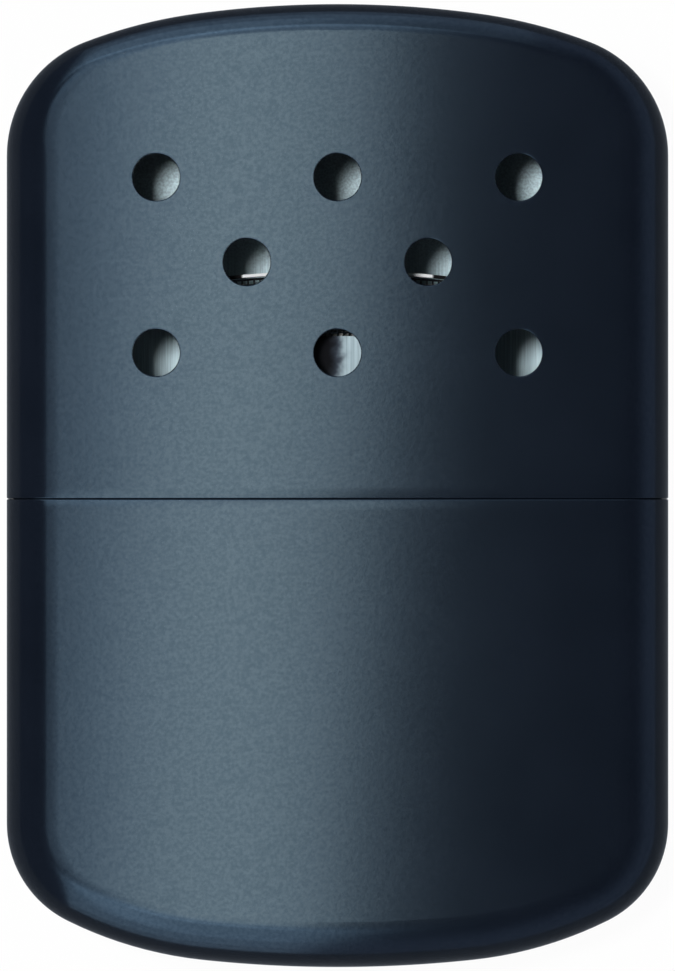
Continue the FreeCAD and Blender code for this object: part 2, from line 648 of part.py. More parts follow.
def arch_gauze_top(body):
    """Cuts everything above the underside of the bridge."""
    above = new_sketch(body, "above", "XY_Plane")
    clear_height = size["bridge_radius"] + 2 * size["post_height"]
    reach = (size["case_width"] / 4, "Sizes.case_width / 4")
    top = (clear_height, "Sizes.bridge_radius + 2 * Sizes.post_height")
    bottom = (underside, f"{UNDERSIDE} - Sizes.solder_gap")
    arched_strip(above, reach, top, bottom)
    pocket(body, above, kind="Symmetric")


def open_gauze(body):
    """Fills the window with a grid of square openings, as many as there is room for."""
    cell = size["gauze_cell"]
    pitch = "Sizes.gauze_pitch"
    columns = 2 * int((size["window_width"] - cell) / 2 / size["gauze_pitch"]) + 1
    room = size["post_height"] - size["sill_height"] - size["gauze_margin"] - cell
    rows = int(room / size["gauze_pitch"]) + 1
    start = f"{(columns - 1) / 2} * {pitch}"
    sill = "Sizes.sill_height + Sizes.gauze_margin"
    opening = new_sketch(body, "opening", "XY_Plane")
    rectangle(opening, f"{start} + Sizes.gauze_cell / 2", f"-({sill})",
              f"-({start} - Sizes.gauze_cell / 2)", f"{sill} + Sizes.gauze_cell")
    cut = pocket(body, opening, kind="Symmetric")
    repeat(body, cut, f"{body.Label}_openings", [("H_Axis", columns, pitch), ("V_Axis", rows, pitch)])


def make_gauze(side):
    """Half of an oval sleeve of gauze, the half in front of the mat or the one behind it."""
    body = oval_sleeve(f"gauze_{side}", GAUZE_FOOT, "2 * Sizes.post_height", FLOOR_DEPTH, GAUZE_BORE)
    arch_gauze_top(body)
    away = new_sketch(body, "away", "XZ_Plane")
    far = "Sizes.case_width"
    near = "Sizes.gauze_split / 2"
    low, high = (far, near) if side == "front" else (near, far)
    rectangle(away, far, low, far, high)
    pocket(body, away, kind="Symmetric")
    open_gauze(body)
    return body


def make_catalyst_mat():
    """Platinised glass-fibre mat between the two gauze halves."""
    body = new_body("catalyst_mat", DECK)
    foot = f"{GAUZE_FOOT} + Sizes.mat_gap"
    outline = new_sketch(body, "outline", "XZ_Plane", f"-({foot})")
    stadium(outline, f"{GAUZE_BORE} - 2 * Sizes.mat_gap")
    pad(body, outline, f"Sizes.post_height - Sizes.mat_gap - ({foot})", reverse=True)
    return body


def make_top_bridge():
    """Arched strip over the gauze, with a narrow tongue at each end that lies on a post."""
    body = new_body("top_bridge", DECK)
    top = (size["bridge_radius"], "Sizes.bridge_radius")
    bottom = (underside, UNDERSIDE)
    strip = new_sketch(body, "strip", "XY_Plane")
    arched_strip(strip, (size["neck_flat"] / 2, "Sizes.neck_flat / 2"), top, bottom)
    pad(body, strip, "Sizes.bridge_depth", "Symmetric")
    tongues = new_sketch(body, "tongues", "XY_Plane")
    arched_strip(tongues, (bridge_reach, BRIDGE_REACH), top, bottom)
    pad(body, tongues, "Sizes.bridge_tongue", "Symmetric")
    return body


# ---------------------------------------------------------------- build and export

SUB_PARTS = [
    make_lid_shell(),
    make_tank_shell(),
    make_tank_collar(),
    make_filler_neck(),
    make_felt_pad(),
    make_cotton_wadding(),
    make_burner_base(),
    make_burner_floor(),
    make_catalyst_mat(),
    make_gauze("front"),
    make_gauze("back"),
    make_top_bridge(),
]
doc.recompute()

for item in doc.Objects:
    if "Invalid" in item.State or "Error" in item.State:
        raise RuntimeError(f"{item.Name} failed: {item.State}")
for part in SUB_PARTS:
    if part.Shape.isNull() or not part.Shape.isValid():
        raise RuntimeError(f"{part.Label} has no valid shape")
    print(part.Label, len(part.Shape.Solids), "solid,", round(part.Shape.Volume, 1), "mm3")

os.makedirs(PARTS_FOLDER, exist_ok=True)
for part in SUB_PARTS:
    part.Shape.exportStep(os.path.join(PARTS_FOLDER, f"{part.Label}.step"))
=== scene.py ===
import math
from collections import namedtuple
from contextlib import contextmanager

import bmesh
import bpy
import numpy as np
from mathutils import Matrix, Vector


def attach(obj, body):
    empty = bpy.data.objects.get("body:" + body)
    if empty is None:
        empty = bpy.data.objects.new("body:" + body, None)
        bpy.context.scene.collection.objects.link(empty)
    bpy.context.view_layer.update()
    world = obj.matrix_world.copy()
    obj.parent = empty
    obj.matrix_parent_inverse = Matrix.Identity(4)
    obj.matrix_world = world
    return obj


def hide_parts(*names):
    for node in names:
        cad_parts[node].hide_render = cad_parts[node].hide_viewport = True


# Refillable catalytic pocket warmer, dressed over its solids.  Shapes are worked out in millimetres in
# the frame of the solids and written to the meshes in metres.  The case is a drawn lid and a drawn lower
# case with a fine black coat outside; a plated collar, filler neck and burner are inside.

MM = 0.001
UP = np.array([0.0, 1.0, 0.0])

# ---------------------------------------------------------------- sizes

# The case: its broad faces are bowed, and a blend leads from them to its straight sides.
HALF_WIDTH = 34.4
HALF_DEPTH = 6.9
FACE_RADIUS = 300.0
SIDE_BLEND = 4.8
SHEET = 0.5
RIM_ROUND = 0.15

# A case half: its rim's place along the case, its height from there and the way it goes, the blend at its
# end, the crown's radius and half its width, and the radii of the shoulder and the corner.
CaseHalf = namedtuple("CaseHalf", "rim height up blend crown crown_reach shoulder corner")
LID = CaseHalf(-1.34, 51.34, 1, 2.8, 111.6, 14.5, 52.1, 12.6)
TANK = CaseHalf(-1.35, 48.65, -1, 4.8, 134.5, 14.1, 41.5, 11.3)

# Air holes in the lid's front: their radius, the rounding of their edge, and their places.
VENT_RADIUS = 2.45
VENT_LIP = 0.13
VENTS = [(-18.8, 32.0), (0.0, 32.0), (18.8, 32.0), (-9.4, 23.2), (9.4, 23.2),
         (-18.8, 13.8), (0.0, 13.8), (18.8, 13.8)]

# Levels of the collar's deck and foot, half the flat of every oval, and the arch over the burner.
DECK = 6.05
SKIRT_FOOT = -7.45
FLAT = 10.1
BRIDGE_RADIUS = 115.0
BRIDGE_TOP = 22.38

# The gauze: the radius it is bent to, the distance from wire to wire, and the wires' radius.
GAUZE_RADIUS = 3.3
GAUZE_PITCH = 0.62
WIRE_RADIUS = 0.075

# In metres: points closer together than the first become one, edges shorter than the second are taken out.
SAME_PLACE = 0.5e-6
ZERO_LENGTH = 1e-7

# Lamps that only glossy surfaces show: place across and along, width, length in degrees, radiance, colour.
# They overlap, so that the light fades step by step, and turns bluer, from the softbox's middle to its rim.
# Below the middle they are narrower on the right, so the lower case goes dark a little sooner than the lid.
CORE = (0.88, 0.98, 0.90)
RIM = (0.57, 0.80, 1.0)
SOFTBOXES = [
    (-4.9, 0.8, 4.0, 7, 1.1, CORE),
    (-3.7, 5, 11.2, 10, 2.6, CORE),
    (-6.1, -8.5, 10.2, 17, 2.6, CORE),
    (-3.2, 15, 15.0, 30, 1.95, RIM),
    (-7.5, -12, 14.0, 24, 1.95, RIM),
    (-17, -12, 10, 70, 0.6, RIM),
    (-16, 17, 14, 22, 1.6, RIM),
    (-18, 40, 24, 36, 0.95, RIM),
    (-18, 48, 36, 56, 0.65, RIM),
    (-16, 58, 54, 70, 0.48, RIM),
    (-15, -35, 24, 42, 0.8, RIM),
    (-24, -46, 32, 56, 0.55, RIM),
    (-29, -56, 34, 70, 1.0, RIM),
]

# The key light in the same order; it gives the shadows, and glossy surfaces don't show it.
KEY_PANEL = (-15.0, 7.0, 11, 10, 90.0)

# How far off the lamps hang, how much further each softbox hangs than the last, and their turn in degrees.
LAMP_DISTANCE = 1700.0
SOFTBOX_STEP = 10
SOFTBOX_TURN = -8


# ---------------------------------------------------------------- colours

# A pair goes from the darker to the lighter shade of one finish.
COAT = (0.0024, 0.0038, 0.0070), (0.0072, 0.0098, 0.0165)
COAT_GLEAM = (0.68, 0.84, 1.0, 1.0)
BARE_INSIDE = (0.42, 0.54, 0.59), (0.65, 0.81, 0.86)
# Painted shade for the inside of the case, near black.
INSIDE_PAINTED_SHADE = (0.025, 0.025, 0.025)
PLATING = (0.66, 0.67, 0.69), (0.78, 0.79, 0.80)
BRIGHT_POST = (0.56, 0.58, 0.59), (0.66, 0.67, 0.68)
HEATED_GREY = (0.32, 0.41, 0.45), (0.46, 0.58, 0.63)
# Blue-black edge of a painted shadow on the burner.
SHADOW_EDGE_BLUE = (0.06, 0.075, 0.10)
# Near black middle of that painted shadow.
PAINTED_SHADOW_BLACK = (0.006, 0.006, 0.007)
POLISHED = (0.70, 0.71, 0.72), (0.80, 0.81, 0.82)
# Painted shade for the bridge's tongues, near black.
TONGUE_PAINTED_SHADE = (0.012, 0.012, 0.013)
WIRE = (0.018, 0.016, 0.015), (0.055, 0.058, 0.066)
GLASS = (0.07, 0.07, 0.07), (0.30, 0.30, 0.29)
FELT = (0.45, 0.43, 0.38), (0.78, 0.76, 0.70)
COTTON = (0.62, 0.61, 0.58), (0.90, 0.89, 0.87)
TABLE = (0.78, 0.78, 0.78), (0.82, 0.82, 0.82)
TABLE_REFLECTED = (0.16, 0.18, 0.21, 1)
ROOM_LIGHT = (0.75, 0.88, 1.0, 1)
ROOM_REFLECTED = (0.55, 0.70, 1.0, 1)
WHITE = (1, 1, 1, 1)


# ---------------------------------------------------------------- meshes

def rows_of_quads(rows, columns, round_columns=True, round_rows=False):
    """Quads over a grid of numbered points; a round direction joins its last line to its first."""
    number = np.arange(rows * columns).reshape(rows, columns)
    if round_rows:
        number = np.vstack([number, number[:1]])
    if round_columns:
        number = np.hstack([number, number[:, :1]])
    corners = (number[:-1, :-1], number[1:, :-1], number[1:, 1:], number[:-1, 1:])
    return np.stack(corners, axis=-1).reshape(-1, 4)


@contextmanager
def edited(mesh):
    """The mesh opened for editing; at the end it is written back."""
    work = bmesh.new()
    work.from_mesh(mesh)
    yield work
    work.to_mesh(mesh)
    work.free()


def new_piece(name, points, faces, materials, face_material=None):
    """An object from points in millimetres and faces; its doubled points are merged and it is smooth."""
    mesh = bpy.data.meshes.new(name)
    mesh.from_pydata((points.reshape(-1, 3) * MM).tolist(), [], faces.tolist())
    for material in materials:
        mesh.materials.append(material)
    if face_material is not None:
        mesh.polygons.foreach_set("material_index", face_material.astype(np.int32))
    with edited(mesh) as work:
        bmesh.ops.remove_doubles(work, verts=work.verts, dist=SAME_PLACE)
        bmesh.ops.recalc_face_normals(work, faces=work.faces)
    mesh.shade_smooth()
    piece = bpy.data.objects.new(name, mesh)
    bpy.context.scene.collection.objects.link(piece)
    return piece


def grid_piece(name, grid, materials, round_rows=False):
    """A piece over a grid of points, which goes round along its rows and, if asked, across them too."""
    return new_piece(name, grid, rows_of_quads(*grid.shape[:2], round_rows=round_rows), materials)


def mark_creases(mesh, angle):
    """Keeps every edge sharper than the angle crisp in the shading."""
    with edited(mesh) as work:
        for edge in work.edges:
            edge.smooth = len(edge.link_faces) == 2 and edge.calc_face_angle(0.0) < math.radians(angle)


def dress(piece, body, slot, *nodes):
    """The piece stands for these nodes and moves with the body; the slot is not used."""
    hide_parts(*nodes)
    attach(piece, body)
    return piece


# ---------------------------------------------------------------- case halves

def arc_run(centre_x, centre_y, radius, start, end, count):
    """Points and outward normals on an arc; its angles are counted from +Y towards +X."""
    turn = np.linspace(start, end, count + 1)[1:]
    normal = np.stack([np.sin(turn), np.cos(turn)], axis=-1)
    return np.array([centre_x, centre_y]) + radius * normal, normal


def half_outline(case):
    """Right half of a case half seen from the front, rim to crown: points, normals and blend radii.

    A straight side, then a corner, a shoulder and a crown arc, each tangent to the next.  The blend's
    radius is the side's up to the corner arc and changes to the end's along it.
    """
    crown_turn = math.asin(case.crown_reach / case.crown)
    shoulder_x = (case.crown - case.shoulder) * math.sin(crown_turn)
    shoulder_y = case.height - case.crown + (case.crown - case.shoulder) * math.cos(crown_turn)
    corner_x = HALF_WIDTH - case.corner
    shoulder_turn = math.asin((corner_x - shoulder_x) / (case.shoulder - case.corner))
    corner_y = shoulder_y + (case.shoulder - case.corner) * math.cos(shoulder_turn)
    height = np.linspace(RIM_ROUND, corner_y, 32)
    side = np.stack([np.full_like(height, HALF_WIDTH), height], axis=-1)
    level = np.tile([1.0, 0.0], (len(height), 1))
    corner, corner_normal = arc_run(corner_x, corner_y, case.corner, math.pi / 2, shoulder_turn, 20)
    shoulder, shoulder_normal = arc_run(
        shoulder_x, shoulder_y, case.shoulder, shoulder_turn, crown_turn, 10)
    crown, crown_normal = arc_run(0, case.height - case.crown, case.crown, crown_turn, 0, 14)
    share = np.linspace(0, 1, len(corner) + 1)[1:]
    blend = np.concatenate([
        np.full(len(side), SIDE_BLEND),
        SIDE_BLEND + (case.blend - SIDE_BLEND) * share,
        np.full(len(shoulder) + len(crown), case.blend),
    ])
    points = np.concatenate([side, corner, shoulder, crown])
    normals = np.concatenate([level, corner_normal, shoulder_normal, crown_normal])
    return points, normals, blend


def case_skin(case):
    """Outside of a case half as a grid of points and one of normals, rim to crown and round the case.

    In each row a ball as big as the blend touches the wall and the broad face from inside.  The row goes
    up the wall to the ball's height, over the ball and across the face, and goes on by symmetry.
    """
    outline, wall_normal, ball = half_outline(case)
    centre = outline - ball[:, None] * wall_normal
    lift = FACE_RADIUS - HALF_DEPTH
    ball_z = np.sqrt((FACE_RADIUS - ball) ** 2 - centre[:, 0] ** 2) - lift
    flat = np.zeros_like(ball)
    wall = np.stack([wall_normal[:, 0], wall_normal[:, 1], flat], axis=-1)
    touch = np.stack([centre[:, 0], flat, ball_z + lift], axis=-1) / (FACE_RADIUS - ball)[:, None]
    middle = np.stack([centre[:, 0], centre[:, 1], ball_z], axis=-1)
    points, normals = [], []
    for share in (0.0, 0.5):
        points.append(np.stack([outline[:, 0], outline[:, 1], ball_z * share], axis=-1))
        normals.append(wall)
    angle = np.arccos(np.sum(wall * touch, axis=-1))[:, None]
    for share in np.linspace(0, 1, 11):
        direction = np.sin((1 - share) * angle) * wall + np.sin(share * angle) * touch
        direction = direction / np.sin(angle)
        points.append(middle + ball[:, None] * direction)
        normals.append(direction)
    for share in np.linspace(1, 0, 25)[1:]:
        across = share * FACE_RADIUS * touch[:, 0]
        height = np.sqrt(FACE_RADIUS ** 2 - across ** 2)
        points.append(np.stack([across, centre[:, 1], height - lift], axis=-1))
        normals.append(np.stack([across, flat, height], axis=-1) / FACE_RADIUS)
    return whole_loop(np.stack(points, axis=1)), whole_loop(np.stack(normals, axis=1))


def whole_loop(quarter):
    """A quarter of each row, from the side to the middle of the front, mirrored to go all round."""
    front_left = quarter * [-1, 1, 1]
    back_left = quarter * [-1, 1, -1]
    back_right = quarter * [1, 1, -1]
    parts = [quarter, front_left[:, -2::-1], back_left[:, 1:], back_right[:, -2:0:-1]]
    return np.concatenate(parts, axis=1)


def to_frame(points, case):
    """Case-half coordinates, counted from the rim and mid-depth, to the frame of the solids."""
    return points * [1, case.up, 1] + [0, case.rim, HALF_DEPTH]


def make_case_half(case, name, coat, inside):
    """Sheet-metal shell: the inside surface from its crown to the rim, a rounded rim, and the outside.

    The inside is the outside moved in by the sheet's thickness; the rim is half an ellipse between them.
    """
    skin, normal = case_skin(case)
    inner = skin - SHEET * normal
    rim_rows = []
    for turn in np.linspace(math.pi, 0, 17):
        inward = SHEET / 2 * (1 - math.cos(turn))
        rim_rows.append(skin[0] - inward * normal[0] - [0, RIM_ROUND * math.sin(turn), 0])
    grid = np.concatenate([inner[:0:-1], np.array(rim_rows), skin[1:]])
    rows, columns = grid.shape[:2]
    faces = rows_of_quads(rows, columns)
    row_of_face = np.repeat(np.arange(rows - 1), columns)
    is_inside = row_of_face < len(inner) - 1
    return new_piece(name, to_frame(grid, case), faces, (coat, inside), is_inside)


def vent_cutter(x, y):
    """Punch for one vent: a rod square to the broad face, flared where it leaves the sheet.

    Its outline turns from the hole's wall to nearly level over the lip's radius, then runs straight on.
    """
    depth, run = 2.0, 0.5
    turn = np.radians(np.linspace(0, 75, 7))
    radius = np.concatenate([[0, VENT_RADIUS], VENT_RADIUS + VENT_LIP * (1 - np.cos(turn))])
    height = np.concatenate([[-depth, -depth], VENT_LIP * (np.sin(turn) - 1)])
    radius = np.append(radius, [radius[-1] + run * math.sin(turn[-1]), 0])
    height = np.append(height, [height[-1] + run * math.cos(turn[-1])] * 2)
    around = np.linspace(0, 2 * math.pi, 73)[:-1]
    tilt = math.asin(x / FACE_RADIUS)
    up = np.array([math.sin(tilt), 0, math.cos(tilt)])
    right = np.array([math.cos(tilt), 0, -math.sin(tilt)])
    foot = FACE_RADIUS * up + [0, y, 2 * HALF_DEPTH - FACE_RADIUS]
    ring = np.cos(around)[:, None] * right + np.sin(around)[:, None] * np.array([0, 1, 0])
    return foot + radius[:, None, None] * ring + height[:, None, None] * up


def pierce_vents(lid):
    """Cuts the vents through the lid's front; the walls of the holes keep the coat.

    The edges of no length that a cut can leave are taken out.
    """
    cuts = [vent_cutter(x, y) for x, y in VENTS]
    quads = rows_of_quads(*cuts[0].shape[:2])
    count = cuts[0].shape[0] * cuts[0].shape[1]
    faces = np.concatenate([quads + index * count for index in range(len(cuts))])
    punch = new_piece("vent_punch", np.array(cuts), faces, list(lid.data.materials))
    cut = lid.modifiers.new("vents", "BOOLEAN")
    cut.operation = "DIFFERENCE"
    cut.solver = "EXACT"
    cut.object = punch
    graph = bpy.context.evaluated_depsgraph_get()
    pierced = bpy.data.meshes.new_from_object(lid.evaluated_get(graph))
    with edited(pierced) as work:
        bmesh.ops.dissolve_degenerate(work, dist=ZERO_LENGTH, edges=work.edges)
    lid.modifiers.clear()
    lid.data = pierced
    bpy.data.objects.remove(punch)
    mark_creases(pierced, 13)


# ---------------------------------------------------------------- collar and neck

def level_section():
    """Points and normals once round the case at its straight sides, as depth and width alone."""
    skin, normal = case_skin(LID)
    return skin[0] * [1, 0, 1], normal[0] * [1, 0, 1]


def centre_points(across):
    """Points on the centre line of the ovals."""
    return np.stack([across, 0 * across, 0 * across], axis=-1)


def toward_oval(section, radius):
    """Each point of a section moved straight to the oval of that radius round the flats' centre line."""
    core = centre_points(np.clip(section[:, 0], -FLAT, FLAT))
    way = section - core
    return core + radius * way / np.linalg.norm(way, axis=-1, keepdims=True)


def round_run(inset, height, radius, start, end, count=6):
    """A rounded corner in a profile of inset and height; angles from the inward direction, upwards."""
    turn = np.radians(np.linspace(start, end, count + 1))
    return [(inset + radius * math.cos(angle), height + radius * math.sin(angle)) for angle in turn]


def collar_profile():
    """Insets and heights of the collar's wall, outside from the foot up and inside from the deck down.

    With them come the crest's inset and the number of rows, from the foot up, that are coated.
    """
    skirt, guide, bore, crest_round = 0.55, 0.7, 1.2, 1.2
    outer = [
        (skirt + 0.2, SKIRT_FOOT),
        (skirt + 0.07, SKIRT_FOOT + 0.08),
        (skirt, SKIRT_FOOT + 0.25),
        (skirt, TANK.rim - 0.25),
        (skirt + 0.02, TANK.rim - 0.08),
        (guide - 0.02, TANK.rim + 0.02),
        (guide, TANK.rim + 0.2),
        (guide, TANK.rim + 0.6),
    ]
    coated_rows = len(outer) - 1
    outer += [(guide, 2.0)]
    outer += round_run(guide + crest_round, DECK - crest_round, crest_round, 180, 90)
    inner = [
        (bore + 0.5, DECK - SHEET),
        (bore + 0.15, DECK - SHEET - 0.15),
        (bore, DECK - SHEET - 0.5),
        (bore, -2.0),
        (bore, SKIRT_FOOT + 0.08),
        (bore - 0.08, SKIRT_FOOT),
    ]
    return outer, inner, guide + crest_round, coated_rows


def make_collar(metal, coat):
    """Skirt, step, guide, rounded crest and deck with its oval opening, closed through the wall inside.

    A profile of inset and height is carried round the case; the deck's rows lie between the crest and
    the opening, on the straight way from one to the other.  The coat of the lower case runs on over the
    step and a little way up the guide.
    """
    mouth = 3.35
    outer, inner, crest_inset, coated_rows = collar_profile()
    section, normal = level_section()
    crest = section - crest_inset * normal
    opening = toward_oval(section, mouth)
    rows = [section - inset * normal + [0, height, 0] for inset, height in outer]
    rows += [crest + share * (opening - crest) + [0, DECK, 0] for share in (0.25, 0.5, 0.75, 0.97)]
    rows += [opening + [0, DECK - drop, 0] for drop in (0.06, SHEET - 0.06)]
    rows += [opening + share * (crest - opening) + [0, DECK - SHEET, 0] for share in (0.03, 0.5, 0.9)]
    rows += [section - inset * normal + [0, height, 0] for inset, height in inner]
    grid = np.array(rows) + [0, 0, HALF_DEPTH]
    faces = rows_of_quads(*grid.shape[:2], round_rows=True)
    is_coated = np.arange(len(faces)) < coated_rows * grid.shape[1]
    return new_piece("collar", grid, faces, [metal, coat], is_coated)


def oval_path(end, per_flat=24):
    """Once round an oval: the centre each point belongs to and its outward direction.

    The points on both ends are given by their angles, counted from the middle of the end.
    """
    flat = np.linspace(FLAT, -FLAT, per_flat + 1)[1:-1]
    centre = np.concatenate([np.full(len(end), FLAT), flat, np.full(len(end), -FLAT), -flat])
    front = np.full(len(flat), math.pi / 2)
    turn = np.concatenate([end, front, end + math.pi, -front])
    return centre_points(centre), np.stack([np.cos(turn), 0 * turn, np.sin(turn)], axis=-1)


def half_turn(steps):
    """Even angles over an oval's end."""
    return np.linspace(-math.pi / 2, math.pi / 2, steps + 1)


def oval_sweep(profile, core, outward):
    """A profile of radius and height carried round the oval; a height may differ from point to point."""
    rows = [core + radius * outward + np.multiply.outer(height + 0 * core[:, 0], UP)
            for radius, height in profile]
    return np.array(rows) + [0, 0, HALF_DEPTH]


def make_filler_neck(metal):
    """Oval tube with a spread flange below and a rolled lip above, swept round the oval."""
    bore, tube, flange, wall = 2.9, 3.3, 4.6, 0.4
    foot, lip = DECK - 2.0, DECK + 4.4
    profile = [(bore + 0.05, foot), (tube - 0.05, foot), (tube, foot + 0.1)]
    profile += [(tube, DECK - 0.02), (tube + 0.2, DECK)]
    profile += [(flange - 0.1, DECK), (flange, DECK + 0.1)]
    profile += [(flange, DECK + wall - 0.1), (flange - 0.1, DECK + wall), (tube + wall, DECK + wall)]
    profile += round_run(tube + wall, DECK + 2 * wall, wall, 270, 180, 4)
    profile += [(tube, DECK + 2.0), (tube, lip - 0.1)]
    profile += round_run(tube - wall / 2, lip, wall / 2, 0, 180, 8)
    profile += [(bore, lip - 0.2), (bore, DECK + 1.0), (bore, foot + 0.1)]
    grid = oval_sweep(profile, *oval_path(half_turn(24)))
    return grid_piece("neck", grid, [metal], round_rows=True)


# ---------------------------------------------------------------- burner

def post_edge(middle, sill, post):
    """Top edge of the sleeve from a window's sill to the middle of an end post, as angles and heights.

    It is a concave quarter, an upright that leans a touch, a convex quarter and the post's level top.
    """
    edge, lean, corner = math.radians(55.4), 0.006, 0.7
    turn = np.linspace(0, math.pi / 2, 7)
    shrinking = corner * (1 - np.sin(turn))
    growing = corner * (1 - np.cos(turn))
    concave = np.stack([edge + shrinking / middle, sill + growing], axis=-1)
    convex = np.stack([edge - lean - growing / middle, post - shrinking], axis=-1)
    rising = np.concatenate([[(math.pi / 2, sill)], concave, convex])
    top_run = np.linspace(rising[-1, 0], 0, 8)[1:]
    return np.concatenate([rising, np.stack([top_run, np.full(len(top_run), post)], axis=-1)])


def make_burner_sleeve(metal):
    """Oval sleeve with two end posts: its top follows the sill, turns up the posts and over them."""
    foot, sill, post = DECK + 0.8, DECK + 9.5, DECK + 15.15
    inner, outer = 3.5, 3.9
    rising = post_edge((inner + outer) / 2, sill, post)
    end = np.concatenate([rising * [-1, 1], rising[-2::-1]])
    core, outward = oval_path(end[:, 0])
    window = np.full(len(core) // 2 - len(end), sill)
    top = np.concatenate([end[:, 1], window, end[:, 1], window])
    wall = top - foot - 0.12
    profile = [(inner + 0.05, foot), (outer - 0.05, foot), (outer, foot + 0.06)]
    profile += [(outer, foot + share * wall) for share in (0.1, 0.35, 0.65, 1.0)]
    profile += [(outer - 0.02, top - 0.05), (outer - 0.07, top)]
    profile += [(inner + 0.07, top), (inner + 0.02, top - 0.05)]
    profile += [(inner, foot + share * wall) for share in (1.0, 0.6, 0.2)]
    profile += [(inner, foot + 0.06)]
    grid = oval_sweep(profile, core, outward)
    sleeve = grid_piece("burner_sleeve", grid, [metal], round_rows=True)
    mark_creases(sleeve.data, 35)
    return sleeve


def arch_drop(along):
    """How far the bridge's arch has come down, as a negative height, at a place along it."""
    return np.sqrt(BRIDGE_RADIUS ** 2 - along ** 2) - BRIDGE_RADIUS


def make_bridge(metal):
    """Arched strip with polished edges: a rounded-rectangle section carried along the arch.

    The strip is widest between the flats' ends and narrows over a half-round to its two tongues.
    """
    reach, wide, narrow, wall, edge, shoulder = 13.75, 1.6, 1.0, 0.35, 0.09, 0.6
    quarter = np.linspace(0, math.pi / 2, 7)
    tip = narrow * np.sin(quarter)
    tip_x = reach - narrow + narrow * np.cos(quarter)
    turn = np.linspace(0, math.pi, 9)
    neck_x = FLAT + shoulder - shoulder * np.cos(turn[::-1])
    neck = narrow + (wide - narrow) * (1 - np.cos(turn)) / 2
    strip_x = np.linspace(FLAT, -FLAT, 41)[1:-1]
    half_x = np.concatenate([tip_x, neck_x])
    half_width = np.concatenate([tip, neck])
    along = np.concatenate([half_x, strip_x, -half_x[::-1]])
    width = np.concatenate([half_width, np.full(len(strip_x), wide), half_width[::-1]])
    top = BRIDGE_TOP + arch_drop(along)
    rows = []
    for corner_z, corner_y, start in ((1, 1, 0), (-1, 1, 90), (-1, -1, 180), (1, -1, 270)):
        for angle in np.radians(np.linspace(start, start + 90, 5)):
            across = corner_z * np.maximum(width - edge, 0) + np.minimum(edge, width) * math.cos(angle)
            height = top - wall / 2 + corner_y * (wall / 2 - edge) + edge * math.sin(angle)
            rows.append(np.stack([along, height, across + HALF_DEPTH], axis=-1))
    return grid_piece("bridge", np.array(rows).transpose(1, 0, 2), [metal])


def gauze_surface(along, side):
    """Point and outward direction on half of the gauze, by the distance along it from its middle."""
    beyond = np.clip(np.abs(along) - FLAT, 0, None) / GAUZE_RADIUS
    sign = np.sign(along)
    outward = np.stack([sign * np.sin(beyond), 0 * along, side * np.cos(beyond)], axis=-1)
    core = np.stack([np.clip(along, -FLAT, FLAT), 0 * along, 0 * along + HALF_DEPTH], axis=-1)
    return core + GAUZE_RADIUS * outward, outward


def wire_tubes(path, outward, aside):
    """Five-sided wires along many paths at once, drawn to a point at both ends."""
    count, length = path.shape[:2]
    turn = np.linspace(0, 2 * math.pi, 6)[:-1]
    thick = np.full(length, WIRE_RADIUS)
    thick[[0, -1]] = 0
    ring = np.cos(turn)[:, None] * outward[:, :, None] + np.sin(turn)[:, None] * aside[:, :, None]
    points = path[:, :, None] + thick[None, :, None, None] * ring
    quads = rows_of_quads(length, 5)
    faces = np.concatenate([quads + index * length * 5 for index in range(count)])
    return points.reshape(-1, 3), faces


def upright_wires(columns, steps, foot, head, side):
    """The gauze's upright wires, from its foot to the underside of the arch."""
    place = (columns * GAUZE_PITCH)[:, None]
    share = np.linspace(0, 1, steps + 1)
    height = foot + share * (head + arch_drop(place) - foot)
    base, outward = gauze_surface(np.repeat(place, len(share), axis=1), side)
    wave = WIRE_RADIUS * np.cos(math.pi * ((height - foot) / GAUZE_PITCH + columns[:, None]))
    path = base + wave[..., None] * outward + height[..., None] * UP
    return wire_tubes(path, outward, np.cross(outward, UP))


def level_wires(levels, steps, foot, head, side):
    """The gauze's level wires; from the foot up they bend more and more to the arch."""
    reach = steps / 8 * GAUZE_PITCH
    along = np.repeat(np.linspace(-reach, reach, steps + 1)[None, :], len(levels), axis=0)
    place = (foot + levels * GAUZE_PITCH)[:, None]
    share = (levels / levels[-1])[:, None]
    height = place + share * (head - 0.05 + arch_drop(along) - place[-1])
    base, outward = gauze_surface(along, side)
    wave = -WIRE_RADIUS * np.cos(math.pi * (along / GAUZE_PITCH + levels[:, None]))
    path = base + wave[..., None] * outward + height[..., None] * UP
    return wire_tubes(path, outward, np.broadcast_to(UP, outward.shape))


def make_gauze(name, side, metal):
    """Plain-woven wire cloth bent to half an oval: each wire waves over one crossing and under the next.

    The wave is a cosine across the sleeve with a period of two pitches, turned over from wire to wire; a
    wire has four steps from one crossing to the next.
    """
    parting = 0.09
    foot, head = DECK + 5.28, BRIDGE_TOP - 0.5
    reach = FLAT + GAUZE_RADIUS * (math.pi / 2 - parting)
    last_column = int(reach / GAUZE_PITCH)
    last_level = int((head - 0.25 - foot) / GAUZE_PITCH)
    columns = np.arange(-last_column, last_column + 1)
    levels = np.arange(last_level + 1)
    upright_points, upright_faces = upright_wires(columns, 4 * last_level, foot, head, side)
    level_points, level_faces = level_wires(levels, 8 * last_column, foot, head, side)
    points = np.concatenate([upright_points, level_points])
    faces = np.concatenate([upright_faces, level_faces + len(upright_points)])
    return new_piece(name, points, faces, [metal])


# ---------------------------------------------------------------- fibre pieces

def lumps(points, size, depth):
    """Soft unevenness: three waves at odd angles, each bent by the next, of about one size."""
    x, y, z = (points / size).reshape(-1, 3).T
    first = np.sin(1.9 * x + 1.3 * np.sin(1.1 * y + 0.7 * z))
    second = np.sin(1.7 * y + 1.1 * np.sin(1.3 * z + 0.9 * x) + 2.0)
    third = np.sin(1.5 * z + 1.2 * np.sin(0.9 * x + 1.2 * y) + 4.0)
    return depth * ((first + second + third) / 3).reshape(points.shape[:-1])


